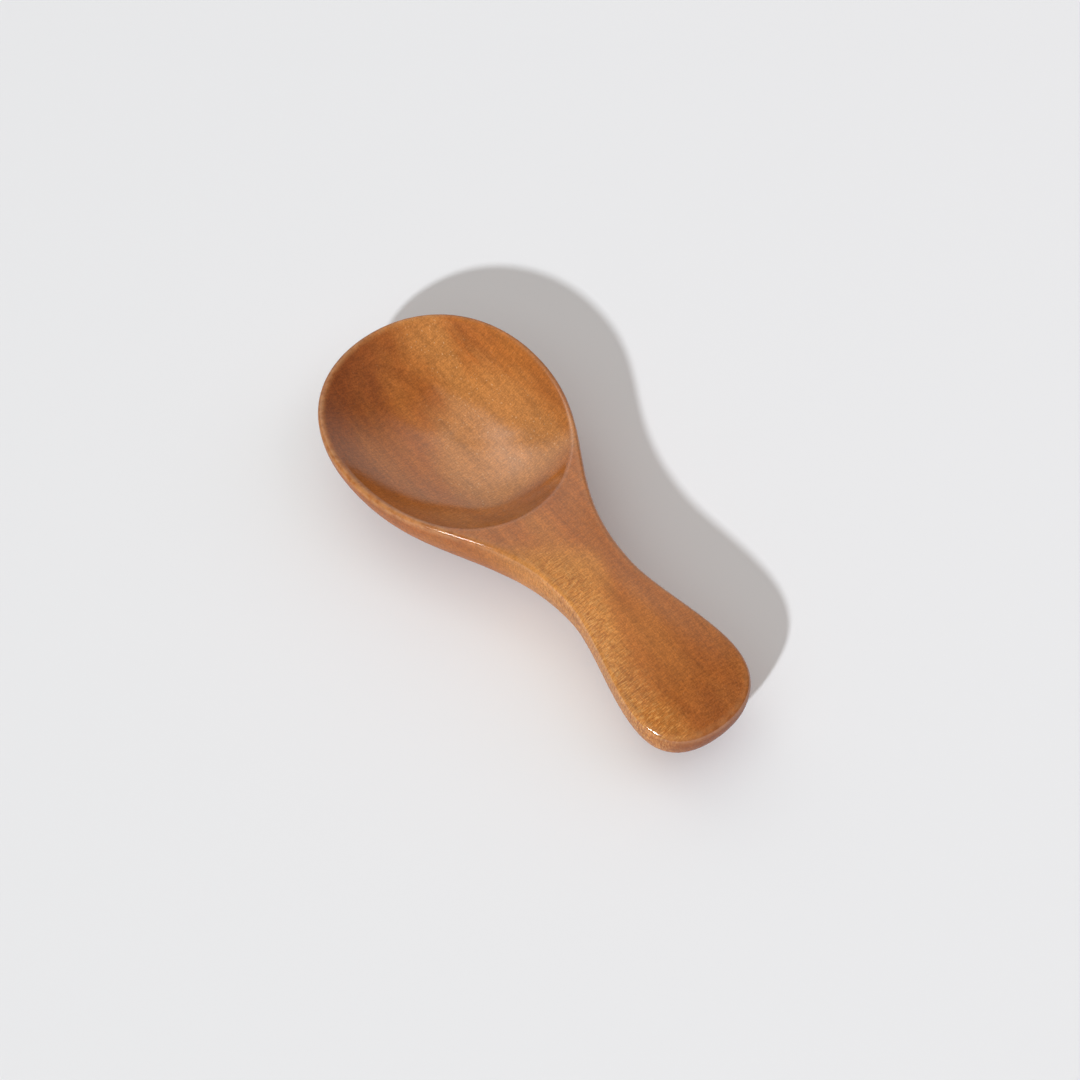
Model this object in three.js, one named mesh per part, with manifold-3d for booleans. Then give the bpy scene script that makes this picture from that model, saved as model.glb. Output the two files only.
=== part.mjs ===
// Tea scoop carved from one short block of hardwood: a round-bottomed bowl with a thin rounded rim,
// a narrow neck, and a flared handle whose end comes down to the table.
// Millimetres, +Z up, +X from the bowl's tip to the handle's end. The scoop rests on z = 0.

import * as THREE from "three";
import { ParametricGeometry } from "three/addons/geometries/ParametricGeometry.js";
import { mergeVertices } from "three/addons/utils/BufferGeometryUtils.js";
import Module from "manifold-3d";

const { clamp, lerp, smoothstep } = THREE.MathUtils;

// Bowl. Lengths along the scoop are measured from the hollow's widest line.
const HOLLOW_FRONT = 19.45;
const HOLLOW_REAR = 22.75;
const HOLLOW_WIDTH = 35.75;
const HOLLOW_DEPTH = 6.6;
const WALL_SLOPE = 0.76; // fall of the hollow's wall for each millimetre in from the rim
const REAR_SLOPE = 1; // the same on the handle's side
const REAR_TURN = [130, 178]; // degrees round from the tip over which the wall grows steeper
const FLOOR_THICKNESS = 8.18;
const RIM_WIDTH = 0.9;
const RIM_ROUND = 0.6;
const RIM_SLOPE = 0.031; // rise of the rim plane for each millimetre towards the handle

// Neck and handle, each length measured from the feature before it.
const NECK_OFFSET = 16.05;
const NECK_WIDTH = 12.5;
const NECK_LIFT = 2.8; // height of the neck's underside above the table
const FLARE_LENGTH = 20.85;
const HANDLE_WIDTH = 19.95;
const END_LENGTH = 8.7;
const HANDLE_DROP = 5.7; // fall of the handle's end below the rim plane
const DROP_OFFSET = 2; // hollow's rear edge to the start of that fall
const HANDLE_CROWN = 0.9; // rise of the handle's top face from its edges to its centre line
const HANDLE_ROUND = 0.95;
const CONTACT_OFFSET = 14.6; // neck to the line where the handle's underside meets the table
const END_LIFT = 2.07; // height of the underside at the handle's end, above that line

// Wood sanded off the underside, which leaves a flat under the bowl and one under the handle.
const FOOT_DEPTH = 0.3;

// Fullness of the plan curves: the share of each span that its tangent covers.
const TIP_FULLNESS = [0.595, 0.59];
const SHOULDER_FULLNESS = [0.44, 0.46];
const FLARE_FULLNESS = [0.31, 0.3];
const END_FULLNESS = [0.695, 0.59];
const HOLLOW_REAR_FULLNESS = [0.54, 0.62];

// Exponents of the cross-section below the edge: 2 is an ellipse, more is squarer.
const BOWL_SECTION = 1.9;
const SHOULDER_SECTION = 2.27;
const HANDLE_SECTION = 2.13;

// Facets
const SKIN_STEPS_ROUND = 112;
const SKIN_STEPS_TOP = 4;
const SKIN_STEPS_EDGE = 5;
const SKIN_STEPS_UNDER = 11;
const HOLLOW_STEPS_ROUND = 64;
const HOLLOW_STEPS_DOWN = 9;
const HOLLOW_OVERSHOOT = 1.06; // size of the hollow's cutter above the rim, as a multiple of the hollow's

// Places that follow from the sizes
const rimHeight = FLOOR_THICKNESS + HOLLOW_DEPTH;
const bowlHalfWidth = HOLLOW_WIDTH / 2 + RIM_WIDTH;
const tipX = -(HOLLOW_FRONT + RIM_WIDTH);
const dropX = HOLLOW_REAR + DROP_OFFSET;
const neckX = HOLLOW_REAR + NECK_OFFSET;
const contactX = neckX + CONTACT_OFFSET;
const flareX = neckX + FLARE_LENGTH;
const endX = flareX + END_LENGTH;
const skinSteps = SKIN_STEPS_TOP + SKIN_STEPS_EDGE + SKIN_STEPS_UNDER;

const wasm = await Module();
wasm.setup();

// Height of the top face at its edge: the rim plane, falling away along the handle.
function topHeight(x) {
  const along = Math.max(0, (x - dropX) / (endX - dropX));
  return rimHeight + RIM_SLOPE * x - HANDLE_DROP * along ** 2;
}

// Rise of the handle's crown at a place along the scoop: none round the bowl, all of it where it is widest.
function crownHeight(x) {
  return HANDLE_CROWN * smoothstep(x, dropX, flareX);
}

// Height of the underside along its centre line, before the flats are sanded.
function underHeight(x) {
  const lift = x < neckX ? smoothstep(x, 0, neckX) : 1 - smoothstep(x, neckX, contactX);
  const past = Math.max(0, (x - contactX) / (endX - contactX));
  return lerp(-FOOT_DEPTH, NECK_LIFT, lift) + END_LIFT * past ** 2;
}

// Radius on the top edge, from the rim's to the handle's.
function edgeRound(x) {
  return lerp(RIM_ROUND, HANDLE_ROUND, smoothstep(x, 0, neckX));
}

// Exponent of the cross-section at a place along the scoop.
function sectionExponent(x) {
  if (x < dropX) return lerp(BOWL_SECTION, SHOULDER_SECTION, clamp(x / dropX, 0, 1));
  return lerp(SHOULDER_SECTION, HANDLE_SECTION, clamp((x - dropX) / (neckX - dropX), 0, 1));
}

// One plan curve that leaves and arrives along the scoop or across it, as its two turns say.
function planCurve(from, to, fullness, turns) {
  const span = [to[0] - from[0], to[1] - from[1]];
  const tangent = (end) => (turns[end] === "along" ? [span[0] * fullness[end], 0] : [0, span[1] * fullness[end]]);
  const [leave, arrive] = [tangent(0), tangent(1)];
  return new THREE.CubicBezierCurve(
    new THREE.Vector2(...from),
    new THREE.Vector2(from[0] + leave[0], from[1] + leave[1]),
    new THREE.Vector2(to[0] - arrive[0], to[1] - arrive[1]),
    new THREE.Vector2(...to),
  );
}

function planPath(curves) {
  const path = new THREE.CurvePath();
  curves.forEach((curve) => path.add(curve));
  return path;
}

// Half of the scoop's outline, from the tip to the handle's end.
const outline = planPath([
  planCurve([tipX, 0], [0, bowlHalfWidth], TIP_FULLNESS, ["across", "along"]),
  planCurve([0, bowlHalfWidth], [neckX, NECK_WIDTH / 2], SHOULDER_FULLNESS, ["along", "along"]),
  planCurve([neckX, NECK_WIDTH / 2], [flareX, HANDLE_WIDTH / 2], FLARE_FULLNESS, ["along", "along"]),
  planCurve([flareX, HANDLE_WIDTH / 2], [endX, 0], END_FULLNESS, ["along", "across"]),
]);

// Half of the hollow's outline.
const hollowLine = planPath([
  planCurve([-HOLLOW_FRONT, 0], [0, HOLLOW_WIDTH / 2], TIP_FULLNESS, ["across", "along"]),
  planCurve([0, HOLLOW_WIDTH / 2], [HOLLOW_REAR, 0], HOLLOW_REAR_FULLNESS, ["along", "across"]),
]);

// Point on a closed outline: the half path out and its mirror image back.
function aroundOutline(path, u) {
  const point = path.getPoint(u < 0.5 ? 2 * u : 2 - 2 * u);
  return u < 0.5 ? point : point.setY(-point.y);
}

// A rib's course at one step: its inset from the edge, its fall from the top face's edge, its share of
// the crown, and its share of the way from there down to the underside's centre line.
function ribCourse(step, reach, radius, exponent) {
  if (step < SKIN_STEPS_TOP) {
    const out = step / SKIN_STEPS_TOP;
    return { inset: lerp(reach, radius, out), fall: 0, crown: 1 - out ** 2, under: 0 };
  }
  const edgeStep = step - SKIN_STEPS_TOP;
  if (edgeStep < SKIN_STEPS_EDGE) {
    const turn = ((edgeStep / SKIN_STEPS_EDGE) * Math.PI) / 2;
    return { inset: radius * (1 - Math.sin(turn)), fall: radius * (1 - Math.cos(turn)), crown: 0, under: 0 };
  }
  const turn = (((edgeStep - SKIN_STEPS_EDGE) / SKIN_STEPS_UNDER) * Math.PI) / 2;
  const power = 2 / exponent;
  const out = Math.max(0, Math.cos(turn)) ** power;
  return { inset: reach * (1 - out), fall: radius, crown: 0, under: Math.sin(turn) ** power };
}

// Skin of the blank: each rib runs from the top face's centre line, over the edge, to the centre line below.
function skinPoint(u, v, target) {
  const edge = aroundOutline(outline, u);
  const spine = new THREE.Vector2(clamp(edge.x, 0, flareX), 0);
  const reach = edge.distanceTo(spine);
  const radius = Math.min(edgeRound(edge.x), reach / 2);
  const { inset, fall, crown, under } = ribCourse(v * skinSteps, reach, radius, sectionExponent(edge.x));
  const place = edge.lerp(spine, inset / reach);
  const top = topHeight(place.x) + crown * crownHeight(place.x) - fall;
  target.set(place.x, place.y, lerp(top, underHeight(place.x), under));
}

// Depth of the hollow at a share of the way out to a point of its edge. The wall has the same slope round
// the tip and grows steeper at the handle, so the floor is flatter where the edge is farther off.
function dishDepth(share, edge) {
  const turn = (Math.atan2(Math.abs(edge.y), -edge.x) * 180) / Math.PI;
  const slope = lerp(WALL_SLOPE, REAR_SLOPE, smoothstep(turn, ...REAR_TURN));
  return HOLLOW_DEPTH * (1 - share ** ((slope * edge.length()) / HOLLOW_DEPTH));
}

// Cutter for the hollow: the dish under a lid that stands proud of the rim.
// Its corners lie half a step off the centre line, clear of the blank's own corners there.
function hollowPoint(u, v, target) {
  const step = v * (HOLLOW_STEPS_DOWN + 1);
  const below = Math.max(0, step - 1) / HOLLOW_STEPS_DOWN;
  const share = HOLLOW_OVERSHOOT * (step < 1 ? step : 1 - below);
  const turn = (u + 0.5 / HOLLOW_STEPS_ROUND) % 1;
  const place = aroundOutline(hollowLine, turn);
  const depth = dishDepth(HOLLOW_OVERSHOOT * (1 - below), place);
  place.multiplyScalar(share);
  target.set(place.x, place.y, topHeight(place.x) - depth);
}

// Closed solid from a geometry, with its seams and poles welded.
function toSolid(geometry) {
  geometry.deleteAttribute("normal");
  geometry.deleteAttribute("uv");
  const welded = mergeVertices(geometry);
  const corners = welded.index.array;
  const triVerts = [];
  for (let i = 0; i < corners.length; i += 3) {
    const [a, b, c] = corners.slice(i, i + 3);
    if (a !== b && b !== c && c !== a) triVerts.push(a, b, c);
  }
  return new wasm.Manifold(new wasm.Mesh({
    numProp: 3,
    vertProperties: new Float32Array(welded.attributes.position.array),
    triVerts: new Uint32Array(triVerts),
  }));
}

function toGeometry(solid) {
  const { vertProperties, triVerts } = solid.getMesh();
  const geometry = new THREE.BufferGeometry();
  geometry.setAttribute("position", new THREE.BufferAttribute(vertProperties, 3));
  geometry.setIndex(new THREE.BufferAttribute(triVerts, 1));
  geometry.computeVertexNormals();
  return geometry;
}

// The blank, hollowed, with its underside sanded flat where it meets the table.
function carveScoop() {
  const blank = toSolid(new ParametricGeometry(skinPoint, SKIN_STEPS_ROUND, skinSteps));
  const hollow = toSolid(new ParametricGeometry(hollowPoint, HOLLOW_STEPS_ROUND, HOLLOW_STEPS_DOWN + 1));
  const length = endX - tipX;
  const table = new THREE.BoxGeometry(2 * length, 2 * length, length);
  table.translate(0, 0, -length / 2);
  return toGeometry(blank.subtract(hollow).subtract(toSolid(table)));
}

const wood = new THREE.MeshStandardMaterial({ color: 0xb0703c, roughness: 0.35, metalness: 0 });

const body = new THREE.Mesh(carveScoop(), wood);
body.name = "scoop_body";
body.position.x = -(tipX + endX) / 2; // the origin lies midway along the scoop, on the table

const scoop = new THREE.Group();
scoop.add(body);

export default scoop;
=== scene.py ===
"""Tea scoop carved from one piece of wood and lacquered, lying on a pale table in soft studio light.

Metres, +Z up, +X from the bowl's tip to the handle's end. Sizes of the scoop are in millimetres.
"""

import logging
import math
from dataclasses import dataclass
from enum import Enum

import bmesh
import bpy
import numpy as np
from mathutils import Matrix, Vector


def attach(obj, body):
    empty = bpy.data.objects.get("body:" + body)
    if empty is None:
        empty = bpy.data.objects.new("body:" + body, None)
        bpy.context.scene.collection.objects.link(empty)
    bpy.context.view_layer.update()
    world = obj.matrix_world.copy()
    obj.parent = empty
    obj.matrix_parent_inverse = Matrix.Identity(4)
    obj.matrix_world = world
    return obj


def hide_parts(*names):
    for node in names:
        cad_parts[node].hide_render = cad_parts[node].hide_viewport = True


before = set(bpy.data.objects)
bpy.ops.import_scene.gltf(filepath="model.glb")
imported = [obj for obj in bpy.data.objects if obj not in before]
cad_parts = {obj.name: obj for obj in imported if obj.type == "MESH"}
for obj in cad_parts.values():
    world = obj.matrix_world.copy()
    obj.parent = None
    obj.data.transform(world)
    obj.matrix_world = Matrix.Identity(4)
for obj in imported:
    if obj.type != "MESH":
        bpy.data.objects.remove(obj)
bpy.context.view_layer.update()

MM = 0.001
WELD_DISTANCE = 1e-7  # metres
CURVE_POINTS = 400
# Heights of the centre lines of the flat pattern's two halves
TOP_MIDDLE = 0.75
UNDER_MIDDLE = 0.25

Colour = tuple[float, float, float]
Scale = tuple[float, float, float]
Pair = tuple[float, float]

log = logging.getLogger("tea_scoop")


class Heading(Enum):
    """Which way a plan curve runs at one of its ends."""

    ALONG = (1.0, 0.0)
    ACROSS = (0.0, 1.0)


def ease(value: np.ndarray, low: float, high: float) -> np.ndarray:
    """Smooth step from 0 at low to 1 at high.

    Args:
        value: Places to look up.
        low: Where the step starts.
        high: Where the step ends.

    Returns:
        The share of the step at each place.
    """
    share = np.clip((value - low) / (high - low), 0.0, 1.0)
    return share * share * (3.0 - 2.0 * share)


def blend_down(first: np.ndarray, second: np.ndarray, softness: float) -> np.ndarray:
    """Lower of two heights, with the corner between them rounded.

    Args:
        first: One surface's heights.
        second: The other surface's heights.
        softness: Height difference over which the corner is rounded.

    Returns:
        The rounded lower envelope.
    """
    overlap = np.maximum(softness - np.abs(first - second), 0.0) / softness
    return np.minimum(first, second) - overlap * overlap * softness / 4.0


def even_steps(line: np.ndarray, count: int) -> np.ndarray:
    """Points at equal steps along a line.

    Args:
        line: Points of a fine polyline.
        count: Number of steps.

    Returns:
        count + 1 points from the line's start to its end.
    """
    length = np.concatenate([[0.0], np.cumsum(np.linalg.norm(np.diff(line, axis=0), axis=1))])
    marks = np.linspace(0.0, length[-1], count + 1)
    return np.stack([np.interp(marks, length, line[:, axis]) for axis in range(2)], axis=-1)


class NodeBench:
    """Adds the nodes of one shader tree and joins them up."""

    def __init__(self, tree: bpy.types.NodeTree) -> None:
        """Start on a tree, which is cleared first."""
        self.tree = tree
        tree.nodes.clear()

    def add(self, kind: str, settings: dict | None = None, **inputs: object) -> bpy.types.Node:
        """Add a node and set or join its inputs.

        Args:
            kind: The node's type name, without the ShaderNode prefix.
            settings: Properties of the node itself.
            **inputs: Values or output sockets, by input name with spaces as underscores, or by _number.

        Returns:
            The new node.
        """
        node = self.tree.nodes.new("ShaderNode" + kind)
        for name, value in (settings or {}).items():
            setattr(node, name, value)
        for name, value in inputs.items():
            key = int(name[1:]) if name.startswith("_") else name.replace("_", " ")
            self.join(value, node.inputs[key])
        return node

    def join(self, value: object, socket: bpy.types.NodeSocket) -> None:
        """Join an output to a socket, or write a plain value on it."""
        if isinstance(value, bpy.types.NodeSocket):
            self.tree.links.new(value, socket)
        else:
            socket.default_value = value

    def maths(self, operation: str, first: object, second: object = 0.0) -> bpy.types.NodeSocket:
        """Result of one arithmetic operation on two values."""
        return self.add("Math", {"operation": operation}, _0=first, _1=second).outputs[0]

    def product(self, *values: object) -> bpy.types.NodeSocket:
        """All the values multiplied together."""
        result, *others = values
        for value in others:
            result = self.maths("MULTIPLY", result, value)
        return result

    def spread(self, value: object, low: float, high: float, to: Pair = (0.0, 1.0)) -> bpy.types.NodeSocket:
        """Value mapped from low..high to another range, held at its ends.

        Args:
            value: The value to map.
            low: Value that maps to the range's start.
            high: Value that maps to the range's end.
            to: The range's start and end.

        Returns:
            The mapped value.
        """
        settings = {"interpolation_type": "SMOOTHSTEP"}
        limits = {"From_Min": low, "From_Max": high, "To_Min": to[0], "To_Max": to[1]}
        return self.add("MapRange", settings, Value=value, **limits).outputs["Result"]

    def stretched(self, place: object, scale: Scale) -> bpy.types.NodeSocket:
        """Place multiplied by a scale of its own along each axis."""
        return self.add("VectorMath", {"operation": "MULTIPLY"}, _0=place, _1=scale).outputs[0]

    def noise(
        self,
        place: object,
        scale: Scale,
        detail: float = 2.0,
        roughness: float = 0.5,
    ) -> bpy.types.NodeSocket:
        """Smooth noise from 0 to 1 at a place.

        Args:
            place: Coordinates to look up.
            scale: Number of blotches for each unit of length, along each axis.
            detail: Number of finer layers.
            roughness: Strength of each finer layer.

        Returns:
            The noise value.
        """
        layers = {"Scale": 1.0, "Detail": detail, "Roughness": roughness}
        return self.add("TexNoise", None, Vector=self.stretched(place, scale), **layers).outputs[0]

    def mixed(self, share: object, first: object, second: object, blend: str = "MIX") -> bpy.types.NodeSocket:
        """Two colours mixed by a share, as Blender's named blend does it."""
        node = self.add("Mix", {"data_type": "RGBA", "blend_type": blend, "clamp_factor": True})
        self.join(share, node.inputs[0])
        self.join(first, node.inputs[6])
        self.join(second, node.inputs[7])
        return node.outputs[2]

    def curve(self, value: object, stops: tuple[Pair, ...]) -> bpy.types.NodeSocket:
        """Value looked up on a curve of straight pieces.

        Args:
            value: Where to look, from 0 to 1.
            stops: Places on the curve with their values, in order.

        Returns:
            The value there.
        """
        return self.ramp(value, [(place, (level, level, level)) for place, level in stops], "LINEAR")

    def ramp(
        self,
        value: object,
        stops: list[tuple[float, Colour]],
        bend: str = "B_SPLINE",
    ) -> bpy.types.NodeSocket:
        """Colour looked up on a ramp.

        Args:
            value: Where to look, from 0 to 1.
            stops: Places on the ramp with their colours, in order.
            bend: How the ramp runs between its stops.

        Returns:
            The colour there.
        """
        node = self.add("ValToRGB", None, Fac=value)
        node.color_ramp.interpolation = bend
        marks = node.color_ramp.elements
        while len(marks) < len(stops):
            marks.new(0.5)
        for mark, (place, colour) in zip(marks, stops):
            mark.position = place
            mark.color = (*colour, 1.0)
        return node.outputs["Color"]


@dataclass(frozen=True)
class GrainLayer:
    """One layer of fine grain: noise that darkens and lightens the wood."""

    scale: Scale
    detail: float
    roughness: float
    reach: Pair  # noise values between which the tone changes
    tone: Pair  # what the colour is multiplied by at those values


@dataclass(frozen=True)
class LacqueredWood:
    """Honey-brown hardwood with rays across the grain, under a clear satin-gloss lacquer.

    Places are in millimetres, along the scoop from its middle or across it from its centre line. A pair
    holds where a mark begins and where it is full, as a place, a facing or a noise value, or it holds
    the mark's strength at those two.
    """

    honey: Colour = (0.390, 0.114, 0.0200)
    russet: Colour = (0.239, 0.058, 0.0107)
    golden: Colour = (0.540, 0.210, 0.0425)
    tan: Colour = (0.468, 0.181, 0.0450)
    ray_gold: Colour = (0.66, 0.33, 0.10)
    # Pale colour of rubbed edges, also standing for painted light on them
    worn_and_lit: Colour = (0.600, 0.300, 0.120)
    # Colour of the painted glints, pale spots that stand for the lamp's glints in the lacquer
    painted_glint: Colour = (0.86, 0.62, 0.36)

    # Surface and lacquer
    roughness: float = 0.5
    side_lacquer: float = 0.4  # weight of the lacquer on the sides and underneath, next to 1 on top
    lacquer_facing: Pair = (-0.1, 0.55)
    rim_rubbing: float = 0.5  # share of the lacquer that is rubbed off the bowl's rim
    rubbed_along: Pair = (-12.0, -20.0)
    coat_roughness: float = 0.12
    coat_ior: float = 1.8

    # Noise that shows both as colour and as relief
    speckle_scale: Scale = (3.2, 4.6, 4.6)
    stroke_scale: Scale = (5.4, 0.85, 1.05)
    patch_scale: Scale = (0.9, 0.9, 0.9)
    fine_roughness: float = 0.6
    grain_relief: float = 0.008  # depth of the relief, in millimetres
    coat_relief: float = 0.7  # share of the relief that shows in the lacquer
    speckle_relief: float = 0.7
    stroke_relief: float = 0.5
    patch_relief: float = 1.6

    # Pale lane along the bowl
    lane_scale: Scale = (0.05, 0.22, 0.22)
    lane_detail: float = 3.0
    lane_drift: float = 9.0
    lane_near: Pair = (1.0, 8.5)
    lane_near_along: Pair = (-34.0, -18.0)
    lane_near_shift: float = 9.5
    lane_far: Pair = (13.0, 9.5)
    lane_far_along: Pair = (-34.0, -22.0)
    lane_far_shift: float = 3.0
    lane_start: Pair = (-48.0, -39.0)
    lane_end: Pair = (-4.5, -9.5)
    lane_share: float = 0.9

    # Growth bands, with a dark heart at the tip
    figure_scale: Scale = (0.022, 0.15, 0.15)
    figure_sway: float = 14.0
    band_marks: tuple[float, float, float] = (0.33, 0.47, 0.62)
    band_share: float = 0.35
    heart_along: Pair = (-23.0, -41.0)
    heart_across: Pair = (9.0, -6.0)
    heart_facing: Pair = (0.0, 0.5)
    heart_on_wall: float = 0.1  # share of the heart's colour on the outer wall

    # Painted golden sheen along the handle's near side, which faces the lamp
    sheen_slant_along: Pair = (8.0, 34.0)
    sheen_slant: Pair = (-2.5, 5.0)
    sheen_across: Pair = (1.5, -2.5)
    sheen_skew: float = 0.8
    sheen_start: Pair = (5.0, 11.5)
    sheen_end: Pair = (44.0, 26.0)
    sheen_strength: Pair = (0.6, 0.85)

    # Painted shade on the near shoulder's side, toward the handle's end and on the hollow's rear wall next to
    # the handle
    shoulder_shade_start: Pair = (-11.0, -5.0)
    shoulder_shade_end: Pair = (9.0, 3.0)
    shoulder_shade_across: Pair = (-6.0, -9.5)
    shoulder_shade_strength: float = 0.28
    handle_end_shade_along: Pair = (22.0, 44.0)
    handle_end_shade_across: Pair = (-7.0, 2.0)
    handle_end_shade_strength: Pair = (0.2, 0.42)
    rear_shade_start: Pair = (-8.5, -4.5)
    rear_shade_end: Pair = (1.0, -2.0)
    rear_shade_across: Pair = (-8.0, 2.0)
    rear_shade_strength: Pair = (0.1, 0.45)
    rear_shade_far: Pair = (8.0, 4.0)

    # Dark end grain, deepened with painted shade, where the surface faces along the handle
    end_grain_shade_facing: Pair = (0.4, 0.9)
    end_grain_shade_strength: float = 0.75

    # Rays
    ray_slant_along: Pair = (12.0, 32.0)
    ray_slant: Pair = (-2.0, 2.0)
    ray_across: Pair = (-0.5, -6.5)
    ray_along: Pair = (0.0, 14.0)
    light_stroke: Pair = (0.51, 0.67)
    light_share: float = 0.52
    dark_stroke: Pair = (0.48, 0.32)
    dark_share: float = 0.58

    # Fine grain: fibres, marks across them, ring lines and streaks
    layers: tuple[GrainLayer, ...] = (
        GrainLayer((0.12, 4.2, 4.2), 2.0, 0.6, reach=(0.3, 0.7), tone=(0.94, 1.05)),
        GrainLayer((4.4, 0.85, 1.0), 1.0, 0.6, reach=(0.34, 0.66), tone=(0.89, 1.10)),
        GrainLayer((0.014, 1.5, 1.5), 1.0, 0.5, reach=(0.58, 0.72), tone=(1.0, 0.90)),
        GrainLayer((0.035, 0.75, 0.75), 2.0, 0.6, reach=(0.32, 0.68), tone=(0.90, 1.08)),
    )
    speckle_reach: Pair = (0.3, 0.7)
    speckle_tone: Pair = (0.85, 1.14)
    # Painted glints: pale spots that stand for the lamp's glints in the lacquer, thickest in the pale lane
    glint_scale: Scale = (2.8, 3.6, 3.6)
    glint_reach: Pair = (0.72, 0.86)
    glint_share: float = 0.04
    lane_glint_share: float = 0.27

    # Wear of the edges, with painted light on the near edges that face the lamp
    wear_and_light_patches: Pair = (0.3, 0.65)
    wear_and_light_strength: Pair = (0.16, 0.46)
    wear_and_light_along: Pair = (0.0, -10.0)
    handle_wear_and_light: float = 0.5
    wear_and_light_across: Pair = (14.0, 2.0)
    far_wear_and_light: float = 0.35

    def material(self) -> bpy.types.Material:
        """Build the wood's material.

        Returns:
            The material, with its grain in the object's own coordinates.
        """
        material = bpy.data.materials.new("lacquered_wood")
        material.use_nodes = True
        bench = NodeBench(material.node_tree)
        coordinates = bench.add("TexCoord").outputs
        spot = bench.stretched(coordinates["Object"], (1.0 / MM, 1.0 / MM, 1.0 / MM))
        forward, _, upward = bench.add("SeparateXYZ", None, Vector=coordinates["Normal"]).outputs
        along, across, _ = bench.add("SeparateXYZ", None, Vector=spot).outputs
        wear = bench.add("Attribute", {"attribute_name": "edge_wear"}).outputs["Fac"]
        rubbed = bench.product(wear, bench.spread(along, *self.rubbed_along, (0.0, self.rim_rubbing)))
        lacquer = bench.spread(upward, *self.lacquer_facing, (self.side_lacquer, 1.0))
        lacquer = bench.product(lacquer, bench.maths("SUBTRACT", 1.0, rubbed))

        speckle = bench.noise(spot, self.speckle_scale, 1.0, self.fine_roughness)
        strokes = bench.noise(spot, self.stroke_scale, 1.0, self.fine_roughness)
        patches = bench.noise(spot, self.patch_scale)
        lane = self.lane(bench, spot, along, across)
        colour = self.figure(bench, spot, along, across, upward, lane)
        colour = self.rays(bench, colour, strokes, along, across)
        colour = self.fine_grain(bench, colour, spot, speckle, lane)
        # Dark end grain with painted shade, where the surface faces toward the handle's end
        end_grain_and_shade = bench.spread(forward, *self.end_grain_shade_facing, (0.0, self.end_grain_shade_strength))
        colour = bench.mixed(end_grain_and_shade, colour, (*self.russet, 1.0))
        colour = self.worn_and_lit_edges(bench, colour, wear, patches, along, across)

        relief = bench.product(speckle, self.speckle_relief)
        for noise, share in ((strokes, self.stroke_relief), (patches, self.patch_relief)):
            relief = bench.maths("ADD", relief, bench.product(noise, share))
        depth = self.grain_relief * MM
        wood_bump = bench.add("Bump", None, Strength=1.0, Distance=depth, Height=relief)
        coat_bump = bench.add("Bump", None, Strength=self.coat_relief, Distance=depth, Height=relief)
        surface = bench.add(
            "BsdfPrincipled",
            None,
            Base_Color=colour,
            Roughness=self.roughness,
            Specular_IOR_Level=0.0,
            Coat_Weight=lacquer,
            Coat_Roughness=self.coat_roughness,
            Coat_IOR=self.coat_ior,
            Normal=wood_bump.outputs[0],
            Coat_Normal=coat_bump.outputs[0],
        )
        bench.add("OutputMaterial", None, Surface=surface.outputs[0])
        return material

    def lane(self, bench: NodeBench, spot: object, along: object, across: object) -> bpy.types.NodeSocket:
        """Share of the pale lane of wood that runs along the bowl, a little off its middle.

        Args:
            bench: Bench of the wood's tree.
            spot: Place in millimetres.
            along: Place along the scoop.
            across: Place across the scoop.

        Returns:
            The share, from 0 to 1.
        """
        drift = bench.noise(spot, self.lane_scale, self.lane_detail, self.fine_roughness)
        wander = bench.product(bench.maths("SUBTRACT", drift, 0.5), self.lane_drift)
        place = bench.maths("ADD", across, wander)
        near_shift = bench.spread(along, *self.lane_near_along, (0.0, self.lane_near_shift))
        far_shift = bench.spread(along, *self.lane_far_along, (0.0, self.lane_far_shift))
        return bench.product(
            bench.spread(bench.maths("ADD", place, near_shift), *self.lane_near),
            bench.spread(bench.maths("SUBTRACT", place, far_shift), *self.lane_far),
            bench.spread(along, *self.lane_start),
            bench.spread(along, *self.lane_end),
        )

    def figure(
        self,
        bench: NodeBench,
        spot: object,
        along: object,
        across: object,
        upward: object,
        lane: object,
    ) -> bpy.types.NodeSocket:
        """Broad colour of the wood: growth bands, dark heart and pale lane, with painted golden sheen on the
        handle's near side and painted shade on the near shoulder, toward the handle's end and on the hollow's
        rear wall.

        Args:
            bench: Bench of the wood's tree.
            spot: Place in millimetres.
            along: Place along the scoop.
            across: Place across the scoop.
            upward: How far the surface faces up.
            lane: Share of the bowl's pale lane.

        Returns:
            The colour.
        """
        drift = bench.noise(spot, self.figure_scale)
        sway = bench.product(bench.maths("SUBTRACT", drift, 0.5), self.figure_sway)
        swayed = bench.maths("ADD", across, sway)
        bands = bench.ramp(drift, list(zip(self.band_marks, (self.russet, self.honey, self.golden))))
        heart = bench.product(
            bench.spread(bench.maths("ADD", along, sway), *self.heart_along),
            bench.spread(swayed, *self.heart_across),
            bench.spread(upward, *self.heart_facing, (self.heart_on_wall, 1.0)),
        )
        # Painted golden sheen along the handle's near side, which faces the lamp
        slant = bench.spread(along, *self.sheen_slant_along, self.sheen_slant)
        corner = bench.maths("SUBTRACT", along, bench.product(across, self.sheen_skew))
        pale = bench.product(
            bench.spread(bench.maths("ADD", swayed, slant), *self.sheen_across),
            bench.spread(corner, *self.sheen_start),
            bench.spread(along, *self.sheen_end, self.sheen_strength),
        )
        # Painted shade on the side of the near shoulder
        shoulder = bench.product(
            bench.spread(along, *self.shoulder_shade_start),
            bench.spread(along, *self.shoulder_shade_end),
            bench.spread(across, *self.shoulder_shade_across, (0.0, self.shoulder_shade_strength)),
        )
        # Painted shade, deepening toward the handle's end, most on its middle and far side
        handle_end_shade = bench.product(
            bench.spread(along, *self.handle_end_shade_along),
            bench.spread(across, *self.handle_end_shade_across, self.handle_end_shade_strength),
        )
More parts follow.
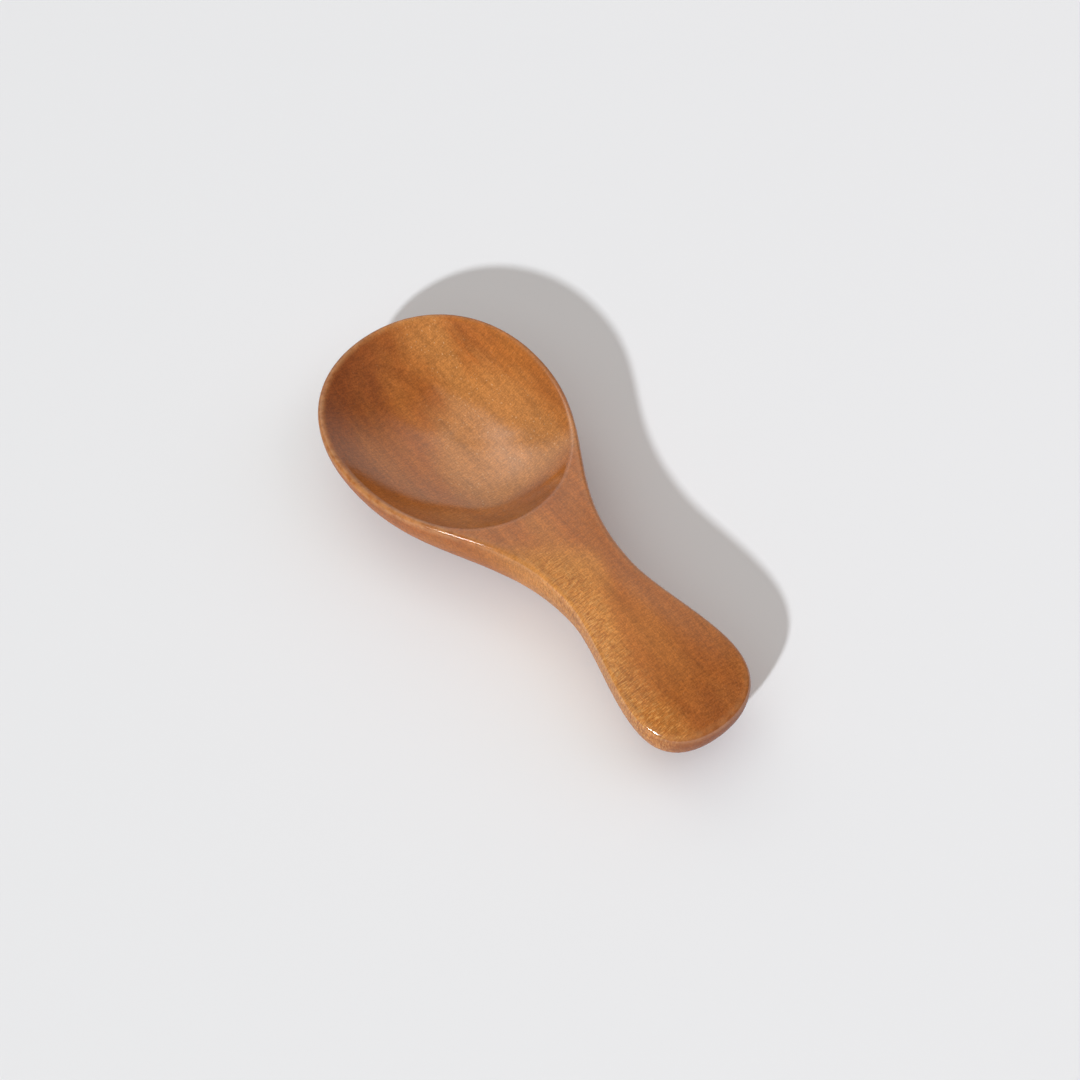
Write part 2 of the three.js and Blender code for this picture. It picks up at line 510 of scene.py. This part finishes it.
        # Painted shade on the hollow's rear wall, next to the handle
        rear_shade = bench.product(
            bench.spread(along, *self.rear_shade_start),
            bench.spread(along, *self.rear_shade_end),
            bench.spread(across, *self.rear_shade_across, self.rear_shade_strength),
            bench.spread(across, *self.rear_shade_far),
        )
        # The strongest of the three painted shades
        dark = bench.maths("MAXIMUM", bench.maths("MAXIMUM", handle_end_shade, rear_shade), shoulder)
        colour = bench.mixed(self.band_share, (*self.honey, 1.0), bands)
        for share, tint in (
            (heart, self.russet),
            (bench.product(lane, self.lane_share), self.tan),
            # Painted golden sheen on the handle's near side
            (pale, self.golden),
            # Painted shade
            (dark, self.russet),
        ):
            colour = bench.mixed(share, colour, (*tint, 1.0))
        return colour

    def rays(
        self,
        bench: NodeBench,
        colour: object,
        strokes: object,
        along: object,
        across: object,
    ) -> bpy.types.NodeSocket:
        """Short light and dark strokes across the grain, along the handle's near side.

        Args:
            bench: Bench of the wood's tree.
            colour: Colour so far.
            strokes: Noise drawn out across the scoop.
            along: Place along the scoop.
            across: Place across the scoop.

        Returns:
            The colour with the strokes.
        """
        inward = bench.maths("ADD", across, bench.spread(along, *self.ray_slant_along, self.ray_slant))
        side = bench.product(bench.spread(inward, *self.ray_across), bench.spread(along, *self.ray_along))
        light = bench.product(side, bench.spread(strokes, *self.light_stroke, (0.0, self.light_share)))
        dark = bench.product(side, bench.spread(strokes, *self.dark_stroke, (0.0, self.dark_share)))
        colour = bench.mixed(light, colour, (*self.ray_gold, 1.0))
        return bench.mixed(dark, colour, (*self.russet, 1.0))

    def fine_grain(
        self,
        bench: NodeBench,
        colour: object,
        spot: object,
        speckle: object,
        lane: object,
    ) -> bpy.types.NodeSocket:
        """Fibres, marks across them, ring lines, streaks and speckle, with painted glints: pale spots that
        stand for the lamp's glints in the lacquer.

        Args:
            bench: Bench of the wood's tree.
            colour: Colour so far.
            spot: Place in millimetres.
            speckle: Fine noise.
            lane: Share of the bowl's pale lane.

        Returns:
            The colour with the grain.
        """
        tone = bench.spread(speckle, *self.speckle_reach, self.speckle_tone)
        for layer in self.layers:
            noise = bench.noise(spot, layer.scale, layer.detail, layer.roughness)
            tone = bench.product(tone, bench.spread(noise, *layer.reach, layer.tone))
        tone_colour = bench.add("CombineColor", None, Red=tone, Green=tone, Blue=tone).outputs[0]
        colour = bench.mixed(1.0, colour, tone_colour, "MULTIPLY")
        # Painted glints: pale spots where the lamp would glint in the lacquer, thickest in the pale lane
        glint_spots = bench.spread(bench.noise(spot, self.glint_scale, 0.0), *self.glint_reach)
        strength = bench.maths("ADD", bench.product(lane, self.lane_glint_share), self.glint_share)
        return bench.mixed(bench.product(glint_spots, strength), colour, (*self.painted_glint, 1.0))

    def worn_and_lit_edges(
        self,
        bench: NodeBench,
        colour: object,
        wear: object,
        patches: object,
        along: object,
        across: object,
    ) -> bpy.types.NodeSocket:
        """Paler wood where the edges are rubbed, with painted light on the edges that face the lamp, most of
        all on the near side of the bowl's rim.

        Args:
            bench: Bench of the wood's tree.
            colour: Colour so far.
            wear: Wear of the finish.
            patches: Noise that breaks up the wear.
            along: Place along the scoop.
            across: Place across the scoop.

        Returns:
            The colour with the wear.
        """
        # Rubbed wear with painted light, strongest on the near edges, which face the lamp
        share = bench.product(
            wear,
            bench.spread(patches, *self.wear_and_light_patches, self.wear_and_light_strength),
            bench.spread(along, *self.wear_and_light_along, (self.handle_wear_and_light, 1.0)),
            bench.spread(across, *self.wear_and_light_across, (self.far_wear_and_light, 1.0)),
        )
        return bench.mixed(share, colour, (*self.worn_and_lit, 1.0))


@dataclass(frozen=True)
class PaleBoard:
    """Matt off-white board that the scoop lies on."""

    colour: Colour = (0.790, 0.788, 0.806)

    def material(self) -> bpy.types.Material:
        """Build the board's material."""
        material = bpy.data.materials.new("pale_board")
        material.use_nodes = True
        bench = NodeBench(material.node_tree)
        surface = bench.add("BsdfDiffuse", None, Color=(*self.colour, 1.0))
        bench.add("OutputMaterial", None, Surface=surface.outputs[0])
        return material


class SkinPatches:
    """Grids of points that are welded into one closed skin with a flat pattern for its finish."""

    def __init__(self) -> None:
        """Start with no patches."""
        self.points: list[np.ndarray] = []
        self.pattern: list[np.ndarray] = []
        self.wear: list[np.ndarray] = []
        self.faces: list[np.ndarray] = []
        self.count = 0

    def add(self, grid: np.ndarray, pattern: np.ndarray, middle: float, wear: np.ndarray) -> None:
        """Add one grid, and its mirror image on the scoop's other side.

        Args:
            grid: Points of the patch, rows by columns by 3.
            pattern: Places of the same points on the flat pattern, rows by columns by 2, from 0 to 1.
            middle: Height of the pattern's own centre line.
            wear: Wear of the finish at the same points, rows by columns.
        """
        rows, columns = grid.shape[:2]
        for side in (1.0, -1.0):
            number = self.count + np.arange(rows * columns).reshape(rows, columns)
            corners = [number[:-1, :-1], number[1:, :-1], number[1:, 1:], number[:-1, 1:]]
            if side < 0.0:
                corners.reverse()
            self.faces.append(np.stack(corners, axis=-1).reshape(-1, 4))
            self.points.append(grid.reshape(-1, 3) * (1.0, side, 1.0))
            self.pattern.append(pattern.reshape(-1, 2) * (1.0, side) + (0.0, (1.0 - side) * middle))
            self.wear.append(wear.reshape(-1))
            self.count += rows * columns

    def mesh(self, name: str) -> bpy.types.Mesh:
        """Weld the patches.

        Args:
            name: Name of the new mesh.

        Returns:
            The closed mesh, in metres, with smooth faces, its pattern and its wear.
        """
        mesh = bpy.data.meshes.new(name)
        points = np.concatenate(self.points) * MM
        faces = np.concatenate(self.faces)
        mesh.from_pydata(points.tolist(), [], faces.tolist())
        wear = mesh.attributes.new("edge_wear", "FLOAT", "POINT")
        wear.data.foreach_set("value", np.concatenate(self.wear))
        places = mesh.uv_layers.new(name="OFBake")
        places.data.foreach_set("uv", np.concatenate(self.pattern)[faces.reshape(-1)].reshape(-1))
        skin = bmesh.new()
        skin.from_mesh(mesh)
        bmesh.ops.remove_doubles(skin, verts=skin.verts, dist=WELD_DISTANCE)
        bmesh.ops.recalc_face_normals(skin, faces=skin.faces)
        skin.to_mesh(mesh)
        skin.free()
        mesh.polygons.foreach_set("use_smooth", [True] * len(mesh.polygons))
        mesh.update()
        return mesh


@dataclass
class ScoopBody:
    """The scoop itself, in millimetres. Lengths along it start at the hollow's widest line."""

    hollow_front: float = 19.45
    hollow_rear: float = 22.75
    hollow_width: float = 35.75
    hollow_depth: float = 6.6
    wall_slope: float = 0.76
    rear_slope: float = 1.0
    floor_thickness: float = 8.18
    rim_width: float = 0.9
    rim_round: float = 0.6
    rim_slope: float = 0.031
    neck_offset: float = 16.05
    neck_width: float = 12.5
    neck_lift: float = 2.8
    flare_length: float = 20.85
    handle_width: float = 19.95
    end_length: float = 8.7
    handle_drop: float = 5.7
    drop_offset: float = 2.0
    handle_crown: float = 0.9
    handle_round: float = 0.95
    contact_offset: float = 14.6
    end_lift: float = 2.07
    foot_depth: float = 0.3
    tip_fullness: Pair = (0.595, 0.59)
    shoulder_fullness: Pair = (0.44, 0.46)
    flare_fullness: Pair = (0.31, 0.3)
    end_fullness: Pair = (0.695, 0.59)
    hollow_rear_fullness: Pair = (0.54, 0.62)
    bowl_section: float = 1.9
    shoulder_section: float = 2.27
    handle_section: float = 2.13
    rear_turn: Pair = (130.0, 178.0)  # degrees from the tip over which the wall grows steeper
    crease_softness: float = 0.3
    seam_offset: float = 5.0  # hollow's rear edge to the line where the bowl's mesh meets the handle's
    outline_steps: int = 340
    land_steps: int = 14
    hollow_steps: int = 44
    across_steps: int = 44
    edge_steps: int = 9
    under_steps: int = 26
    across_crowding: float = 1.25  # exponents that crowd the steps toward an edge
    land_crowding: float = 2.2
    hollow_crowding: float = 1.7
    least_half_width: float = 1.0  # keeps shares of the width finite at the tip
    pattern_margin: float = 2.0
    wear_reach: Pair = (0.5, 1.5)  # distances from the top edge between which the wear fades out

    def __post_init__(self) -> None:
        """Work out the places that follow from the sizes."""
        self.rim_height = self.floor_thickness + self.hollow_depth
        self.bowl_half = self.hollow_width / 2.0 + self.rim_width
        self.tip_x = -(self.hollow_front + self.rim_width)
        self.drop_x = self.hollow_rear + self.drop_offset
        self.neck_x = self.hollow_rear + self.neck_offset
        self.contact_x = self.neck_x + self.contact_offset
        self.flare_x = self.neck_x + self.flare_length
        self.end_x = self.flare_x + self.end_length
        self.middle_x = (self.tip_x + self.end_x) / 2.0

    def top_height(self, x: np.ndarray) -> np.ndarray:
        """Height of the top face's edge: the rim plane, falling away along the handle."""
        along = np.maximum(0.0, (x - self.drop_x) / (self.end_x - self.drop_x))
        return self.rim_height + self.rim_slope * x - self.handle_drop * along**2

    def crown_height(self, x: np.ndarray, out: np.ndarray) -> np.ndarray:
        """Rise of the handle's rounded top above its edge.

        Args:
            x: Places along the scoop.
            out: Share of the way from the centre line to the edge.

        Returns:
            The rise at each place, which is none round the bowl.
        """
        return self.handle_crown * ease(x, self.drop_x, self.flare_x) * (1.0 - np.minimum(out, 1.0) ** 2)

    def under_height(self, x: np.ndarray) -> np.ndarray:
        """Height of the underside along its centre line, before the flats are sanded."""
        rise = ease(x, 0.0, self.neck_x)
        lift = np.where(x < self.neck_x, rise, 1.0 - ease(x, self.neck_x, self.contact_x))
        past = np.maximum(0.0, (x - self.contact_x) / (self.end_x - self.contact_x))
        return (self.neck_lift + self.foot_depth) * lift - self.foot_depth + self.end_lift * past**2

    def edge_round(self, x: np.ndarray) -> np.ndarray:
        """Radius on the top edge, from the rim's to the handle's."""
        return self.rim_round + (self.handle_round - self.rim_round) * ease(x, 0.0, self.neck_x)

    def section_exponent(self, x: np.ndarray) -> np.ndarray:
        """Exponent of the cross-section below the edge: 2 is an ellipse, more is squarer."""
        marks = [0.0, self.drop_x, self.neck_x]
        return np.interp(x, marks, [self.bowl_section, self.shoulder_section, self.handle_section])

    @staticmethod
    def plan_curve(start: Pair, end: Pair, fullness: Pair, leave: Heading, arrive: Heading) -> np.ndarray:
        """One curve of the plan.

        Args:
            start: Where it starts.
            end: Where it ends.
            fullness: Share of the span that each end's tangent covers.
            leave: Its heading at the start.
            arrive: Its heading at the end.

        Returns:
            Fine points along the curve.
        """
        first, last = np.array(start), np.array(end)
        span = last - first
        leaving = first + span * leave.value * fullness[0]
        arriving = last - span * arrive.value * fullness[1]
        t = np.linspace(0.0, 1.0, CURVE_POINTS)[:, None]
        s = 1.0 - t
        return s**3 * first + 3 * t * s**2 * leaving + 3 * t**2 * s * arriving + t**3 * last

    def outline(self) -> np.ndarray:
        """Half of the scoop's outline, from the tip to the handle's end."""
        widest = (0.0, self.bowl_half)
        neck = (self.neck_x, self.neck_width / 2.0)
        flare = (self.flare_x, self.handle_width / 2.0)
        along, across = Heading.ALONG, Heading.ACROSS
        curves = [
            self.plan_curve((self.tip_x, 0.0), widest, self.tip_fullness, across, along),
            self.plan_curve(widest, neck, self.shoulder_fullness, along, along),
            self.plan_curve(neck, flare, self.flare_fullness, along, along),
            self.plan_curve(flare, (self.end_x, 0.0), self.end_fullness, along, across),
        ]
        return even_steps(np.concatenate(curves), self.outline_steps)

    def hollow_reach(self, angle: np.ndarray) -> np.ndarray:
        """Distance from the hollow's middle to its edge, by the angle away from the tip."""
        widest = (0.0, self.hollow_width / 2.0)
        along, across = Heading.ALONG, Heading.ACROSS
        line = np.concatenate([
            self.plan_curve((-self.hollow_front, 0.0), widest, self.tip_fullness, across, along),
            self.plan_curve(widest, (self.hollow_rear, 0.0), self.hollow_rear_fullness, along, across)[1:],
        ])
        return np.interp(angle, np.arctan2(line[:, 1], -line[:, 0]), np.hypot(line[:, 0], line[:, 1]))

    def carved(self, place: np.ndarray, height: np.ndarray) -> np.ndarray:
        """Heights after the hollow is carved, with a softened edge.

        Args:
            place: Places in plan, last axis 2.
            height: Heights of the uncarved surface there.

        Returns:
            Heights of the carved surface.
        """
        x, y = place[..., 0], place[..., 1]
        angle = np.arctan2(np.abs(y), -x)
        reach = self.hollow_reach(angle)
        share = np.hypot(x, y) / reach
        turned = ease(np.degrees(angle), *self.rear_turn)
        slope = self.wall_slope + (self.rear_slope - self.wall_slope) * turned
        depth = self.hollow_depth * (1.0 - share ** (slope * reach / self.hollow_depth))
        return blend_down(height, self.top_height(x) - depth, self.crease_softness)

    def skin(self) -> SkinPatches:
        """All patches of the scoop's surface, in the part's frame, in millimetres."""
        edge = self.outline()
        spine = np.stack([np.clip(edge[:, 0], 0.0, self.flare_x), np.zeros(len(edge))], axis=-1)
        reach = np.linalg.norm(edge - spine, axis=1)
        radius = np.minimum(self.edge_round(edge[:, 0]), reach / 2.0)
        inner = edge + (spine - edge) * (radius / reach)[:, None]
        seam = int(np.searchsorted(edge[:, 0], self.hollow_rear + self.seam_offset))
        across = np.linspace(0.0, 1.0, self.across_steps + 1) ** self.across_crowding

        patches = SkinPatches()
        cross = inner[seam] + (spine[seam] - inner[seam]) * across[:, None]
        bowl = self.bowl_rays(np.concatenate([inner[:seam], cross]))
        half_width = np.interp(bowl[..., 0], inner[: seam + 1, 0], inner[: seam + 1, 1])
        self.add_top(patches, bowl, bowl[..., 1] / np.maximum(half_width, self.least_half_width))
        handle = inner[seam:, None] + (spine - inner)[seam:, None] * across[None, :, None]
        self.add_top(patches, handle, np.broadcast_to(1.0 - across, handle.shape[:2]))
        self.add_side(patches, edge, spine, reach, radius)
        return patches

    def bowl_rays(self, outer: np.ndarray) -> np.ndarray:
        """Places along rays from the bowl's outer line over the hollow's edge to its middle.

        Args:
            outer: Places where the rays start.

        Returns:
            Places in plan, one row for each ray.
        """
        distance = np.hypot(outer[:, 0], outer[:, 1])
        crease = (self.hollow_reach(np.arctan2(np.abs(outer[:, 1]), -outer[:, 0])) / distance)[:, None]
        land = np.linspace(1.0, 0.0, self.land_steps + 1)[:-1] ** self.land_crowding
        hollow = 1.0 - np.linspace(0.0, 1.0, self.hollow_steps + 1) ** self.hollow_crowding
        shares = np.concatenate([crease + (1.0 - crease) * land, crease * hollow], axis=1)
        return outer[:, None] * shares[..., None]

    def add_top(self, patches: SkinPatches, place: np.ndarray, out: np.ndarray) -> None:
        """Add a patch of the top face.

        Args:
            patches: Patches to add to.
            place: Places in plan.
            out: Share of the way from the centre line to the edge at each place.
        """
        x = place[..., 0]
        height = self.carved(place, self.top_height(x) + self.crown_height(x, out))
        grid = np.concatenate([place - (self.middle_x, 0.0), height[..., None]], axis=-1)
        patches.add(grid, self.on_pattern(place, TOP_MIDDLE), TOP_MIDDLE, self.wear(place, 0.0))

    def add_side(
        self,
        patches: SkinPatches,
        edge: np.ndarray,
        spine: np.ndarray,
        reach: np.ndarray,
        radius: np.ndarray,
    ) -> None:
        """Add the rounded edge and the underside, rib by rib.

        Args:
            patches: Patches to add to.
            edge: Places of the outline.
            spine: Where each rib meets the centre line.
            reach: Length of each rib in plan.
            radius: Radius of the top edge at each rib.
        """
        turn = np.linspace(0.0, math.pi / 2.0, self.edge_steps + 1)[None, :]
        power = 2.0 / self.section_exponent(edge[:, 0])[:, None]
        sweep = np.linspace(0.0, math.pi / 2.0, self.under_steps + 1)[None, 1:]
        edge_inset = radius[:, None] * (1.0 - np.sin(turn))
        under_inset = reach[:, None] * (1.0 - np.maximum(np.cos(sweep), 0.0) ** power)
        inset = np.concatenate([edge_inset, under_inset], axis=1)
        place = edge[:, None] + (spine - edge)[:, None] * (inset / reach[:, None])[..., None]
        edge_fall = radius[:, None] * (1.0 - np.cos(turn))
        under_fall = np.broadcast_to(radius[:, None], under_inset.shape)
        fall = np.concatenate([edge_fall, under_fall], axis=1)
        down = np.concatenate([np.zeros_like(edge_inset), np.sin(sweep) ** power], axis=1)
        upper = self.top_height(place[..., 0]) - fall
        height = upper + (self.under_height(place[..., 0]) - upper) * down
        height = np.maximum(self.carved(place, height), 0.0)
        grid = np.concatenate([place - (self.middle_x, 0.0), height[..., None]], axis=-1)
        step = np.linalg.norm(np.diff(grid, axis=1), axis=-1)
        run = np.concatenate([np.zeros((len(grid), 1)), np.cumsum(step, axis=1)], axis=1)
        unrolled = edge[:, None] + (spine - edge)[:, None] * (run / run[:, -1:])[..., None]
        wear = self.wear(place, self.top_height(place[..., 0]) - height)
        patches.add(grid, self.on_pattern(unrolled, UNDER_MIDDLE), UNDER_MIDDLE, wear)

    def on_pattern(self, place: np.ndarray, middle: float) -> np.ndarray:
        """Places on the flat pattern, which has the top face above the underside.

        Args:
            place: Places in plan.
            middle: Height of the pattern's centre line.

        Returns:
            The places, from 0 to 1.
        """
        span = self.end_x - self.tip_x + self.pattern_margin
        return (place - (self.middle_x, 0.0)) / span + (0.5, middle)

    def wear(self, place: np.ndarray, fall: np.ndarray | float) -> np.ndarray:
        """Wear of the finish, which is most on the rim and the handle's edges.

        Args:
            place: Places in plan.
            fall: Heights of the top edge above those places.

        Returns:
            The wear, from 0 to 1.
        """
        edge = self.outline()
        flat = place.reshape(-1, 2)
        near = np.array([np.min(np.hypot(*(edge - spot).T)) for spot in flat]).reshape(place.shape[:-1])
        return 1.0 - ease(np.hypot(near, fall), *self.wear_reach)

    def build(self) -> bpy.types.Object:
        """Make the scoop's object and hang it on the frame.

        Returns:
            The object, which stands for the solid of the same name.
        """
        piece = bpy.data.objects.new("carved_scoop", self.skin().mesh("carved_scoop"))
        bpy.context.scene.collection.objects.link(piece)
        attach(piece, "root")
        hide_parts("scoop_body")
        return piece

    def dress(self, piece: bpy.types.Object, finish: LacqueredWood) -> None:
        """Give the scoop its finish."""
        piece.data.materials.append(finish.material())


def toward(azimuth: float, elevation: float) -> Vector:
    """Direction from the scoop, by degrees round from the front and up from the table."""
    turn, rise = math.radians(azimuth), math.radians(elevation)
    return Vector((math.sin(turn) * math.cos(rise), -math.cos(turn) * math.cos(rise), math.sin(rise)))


@dataclass(frozen=True)
class LitCloth:
    """A lit cloth that gives broad soft light, too dull to show in the lacquer."""

    name: str
    azimuth: float
    elevation: float
    side: float
    power: float
    colour: Colour
    distance: float = 1.1


@dataclass
class Studio:
    """Table, lamps and room light round the scoop."""

    table_half: float = 4.0
    key_azimuth: float = 27.3
    key_elevation: float = 32.8
    key_strength: float = 2.68
    key_angle: float = 2.6
    key_colour: Colour = (0.95, 1.0, 1.03)
    cloths: tuple[LitCloth, ...] = (
        LitCloth("overhead_cloth", 28.0, 78.0, side=1.5, power=5.8, colour=(1.0, 1.0, 0.945)),
        LitCloth("far_cloth", 150.0, 45.0, side=1.0, power=1.55, colour=(1.2, 1.0, 1.1)),
    )
    catch_azimuth: float = 15.5
    catch_elevation: float = 30.0
    catch_strength: float = 0.5
    catch_angle: float = 6.0
    window_azimuth: float = 231.5  # straight across the table from the camera
    window_level: float = 1.6
    window_spill: float = 0.65  # share of the window's brightness that lights matt surfaces
    window_colour: Colour = (1.02, 1.0, 0.93)
    room_level: float = 0.072
    # Brightness curves: a bearing of 0.5 is straight across, and of 1 is square to the right.
    window_breadth: tuple[Pair, ...] = (
        (0.0, 0.03),
        (0.155, 0.12),
        (0.19, 0.92),
        (0.25, 1.0),
        (0.33, 0.78),
        (0.42, 0.60),
        (0.50, 0.54),
        (0.61, 0.37),
        (0.72, 0.16),
        (0.80, 0.03),
    )
    window_height: tuple[Pair, ...] = (
        (0.0, 0.25),
        (0.12, 0.42),
        (0.28, 0.60),
        (0.42, 0.98),
        (0.59, 1.0),
        (0.66, 0.40),
        (0.85, 0.2),
    )
    # The lit wall below and beside the window
    wall_breadth: tuple[Pair, ...] = (
        (0.38, 0.0),
        (0.50, 0.14),
        (0.56, 0.20),
        (0.67, 0.20),
        (0.78, 0.10),
        (0.90, 0.0),
    )
    wall_height: tuple[Pair, ...] = ((0.0, 1.0), (0.17, 1.0), (0.28, 0.7), (0.40, 0.0))

    def build(self, board: PaleBoard) -> None:
        """Put the table, the lamps and the room light in place."""
        self.lay_table(board)
        self.hang_key()
        self.hang_catch()
        for cloth in self.cloths:
            self.hang_cloth(cloth)
        self.light_room()

    def lay_table(self, board: PaleBoard) -> None:
        """Lay the table top at the height where the scoop rests."""
        half = self.table_half
        mesh = bpy.data.meshes.new("table_top")
        corners = [(-half, -half, 0.0), (half, -half, 0.0), (half, half, 0.0), (-half, half, 0.0)]
        mesh.from_pydata(corners, [], [(0, 1, 2, 3)])
        mesh.materials.append(board.material())
        table = bpy.data.objects.new("table_top", mesh)
        bpy.context.scene.collection.objects.link(table)

    def hang_key(self) -> None:
        """Hang the small bright lamp at the near left."""
        lamp = bpy.data.lights.new("key_lamp", "SUN")
        lamp.energy = self.key_strength
        lamp.color = self.key_colour
        lamp.angle = math.radians(self.key_angle)
        self.aim(lamp, toward(self.key_azimuth, self.key_elevation))

    def hang_catch(self) -> None:
        """Hang the dim catch light, which only shows as a streak on the edge of the shoulder."""
        lamp = bpy.data.lights.new("catch_light", "SUN")
        lamp.energy = self.catch_strength
        lamp.angle = math.radians(self.catch_angle)
        self.aim(lamp, toward(self.catch_azimuth, self.catch_elevation)).visible_diffuse = False

    def hang_cloth(self, cloth: LitCloth) -> None:
        """Hang one of the lit cloths."""
        lamp = bpy.data.lights.new(cloth.name, "AREA")
        lamp.size = cloth.side
        lamp.energy = cloth.power
        lamp.color = cloth.colour
        self.aim(lamp, toward(cloth.azimuth, cloth.elevation) * cloth.distance).visible_glossy = False

    @staticmethod
    def aim(lamp: bpy.types.Light, place: Vector) -> bpy.types.Object:
        """Put a lamp at a place, turned to the scoop.

        Args:
            lamp: The lamp.
            place: Where it hangs, or its direction for a lamp that is far off.

        Returns:
            The lamp's object.
        """
        item = bpy.data.objects.new(lamp.name, lamp)
        item.location = place
        item.rotation_euler = place.to_track_quat("Z", "Y").to_euler()
        bpy.context.scene.collection.objects.link(item)
        return item

    def light_room(self) -> None:
        """Set the light of the room: a tall window across the table, and the lit wall beside it."""
        world = bpy.data.worlds.new("room")
        world.use_nodes = True
        bench = NodeBench(world.node_tree)
        direction = bench.add("TexCoord").outputs["Generated"]
        ahead = self.share(bench, direction, toward(self.window_azimuth, 0.0))
        aside = self.share(bench, direction, toward(self.window_azimuth - 90.0, 0.0))
        rise = self.share(bench, direction, Vector((0.0, 0.0, 1.0)))
        turn = bench.maths("DIVIDE", bench.maths("ARCTAN2", aside, ahead), math.pi)
        bearing = bench.maths("ADD", turn, 0.5)
        height = bench.maths("DIVIDE", bench.maths("ARCSINE", rise), math.pi / 2.0)
        window, wall = (
            bench.product(bench.curve(bearing, breadth), bench.curve(height, rising))
            for breadth, rising in (
                (self.window_breadth, self.window_height),
                (self.wall_breadth, self.wall_height),
            )
        )
        glossy = bench.add("LightPath").outputs["Is Glossy Ray"]
        seen = bench.spread(glossy, 0.0, 1.0, (self.window_spill, 1.0))
        lit = bench.product(bench.maths("ADD", window, wall), self.window_level, seen)
        level = bench.maths("ADD", lit, self.room_level)
        sky = bench.add("Background", None, Color=(*self.window_colour, 1.0), Strength=level)
        bench.add("OutputWorld", None, Surface=sky.outputs[0])
        bpy.context.scene.world = world

    @staticmethod
    def share(bench: NodeBench, direction: object, axis: Vector) -> bpy.types.NodeSocket:
        """How far a direction goes along an axis."""
        return bench.add("VectorMath", {"operation": "DOT_PRODUCT"}, _0=direction, _1=axis).outputs["Value"]


@dataclass
class PhotoCamera:
    """Camera at the photograph's viewing angle."""

    azimuth: float = 51.474
    elevation: float = 58.421
    distance: float = 0.54061
    aim: tuple[float, float, float] = (-0.00369, 0.00326, 0.0)
    lens: float = 113.53
    sensor: float = 36.0
    near_clip: float = 0.01

    def build(self) -> None:
        """Make the camera and hand it to the scene."""
        camera = bpy.data.cameras.new("photo_camera")
        camera.lens = self.lens
        camera.sensor_width = self.sensor
        camera.clip_start = self.near_clip
        away = toward(self.azimuth, self.elevation)
        item = bpy.data.objects.new("photo_camera", camera)
        item.location = Vector(self.aim) + away * self.distance
        item.rotation_euler = away.to_track_quat("Z", "Y").to_euler()
        bpy.context.scene.collection.objects.link(item)
        bpy.context.scene.camera = item


def main() -> None:
    """Build the scoop and its studio."""
    logging.basicConfig(level=logging.INFO)
    bpy.context.scene.view_settings.view_transform = "Standard"
    PhotoCamera().build()
    Studio().build(PaleBoard())
    body = ScoopBody()
    piece = body.build()
    body.dress(piece, LacqueredWood())
    log.info("%s: %d faces", piece.name, len(piece.data.polygons))


if __name__ == "__main__":
    main()
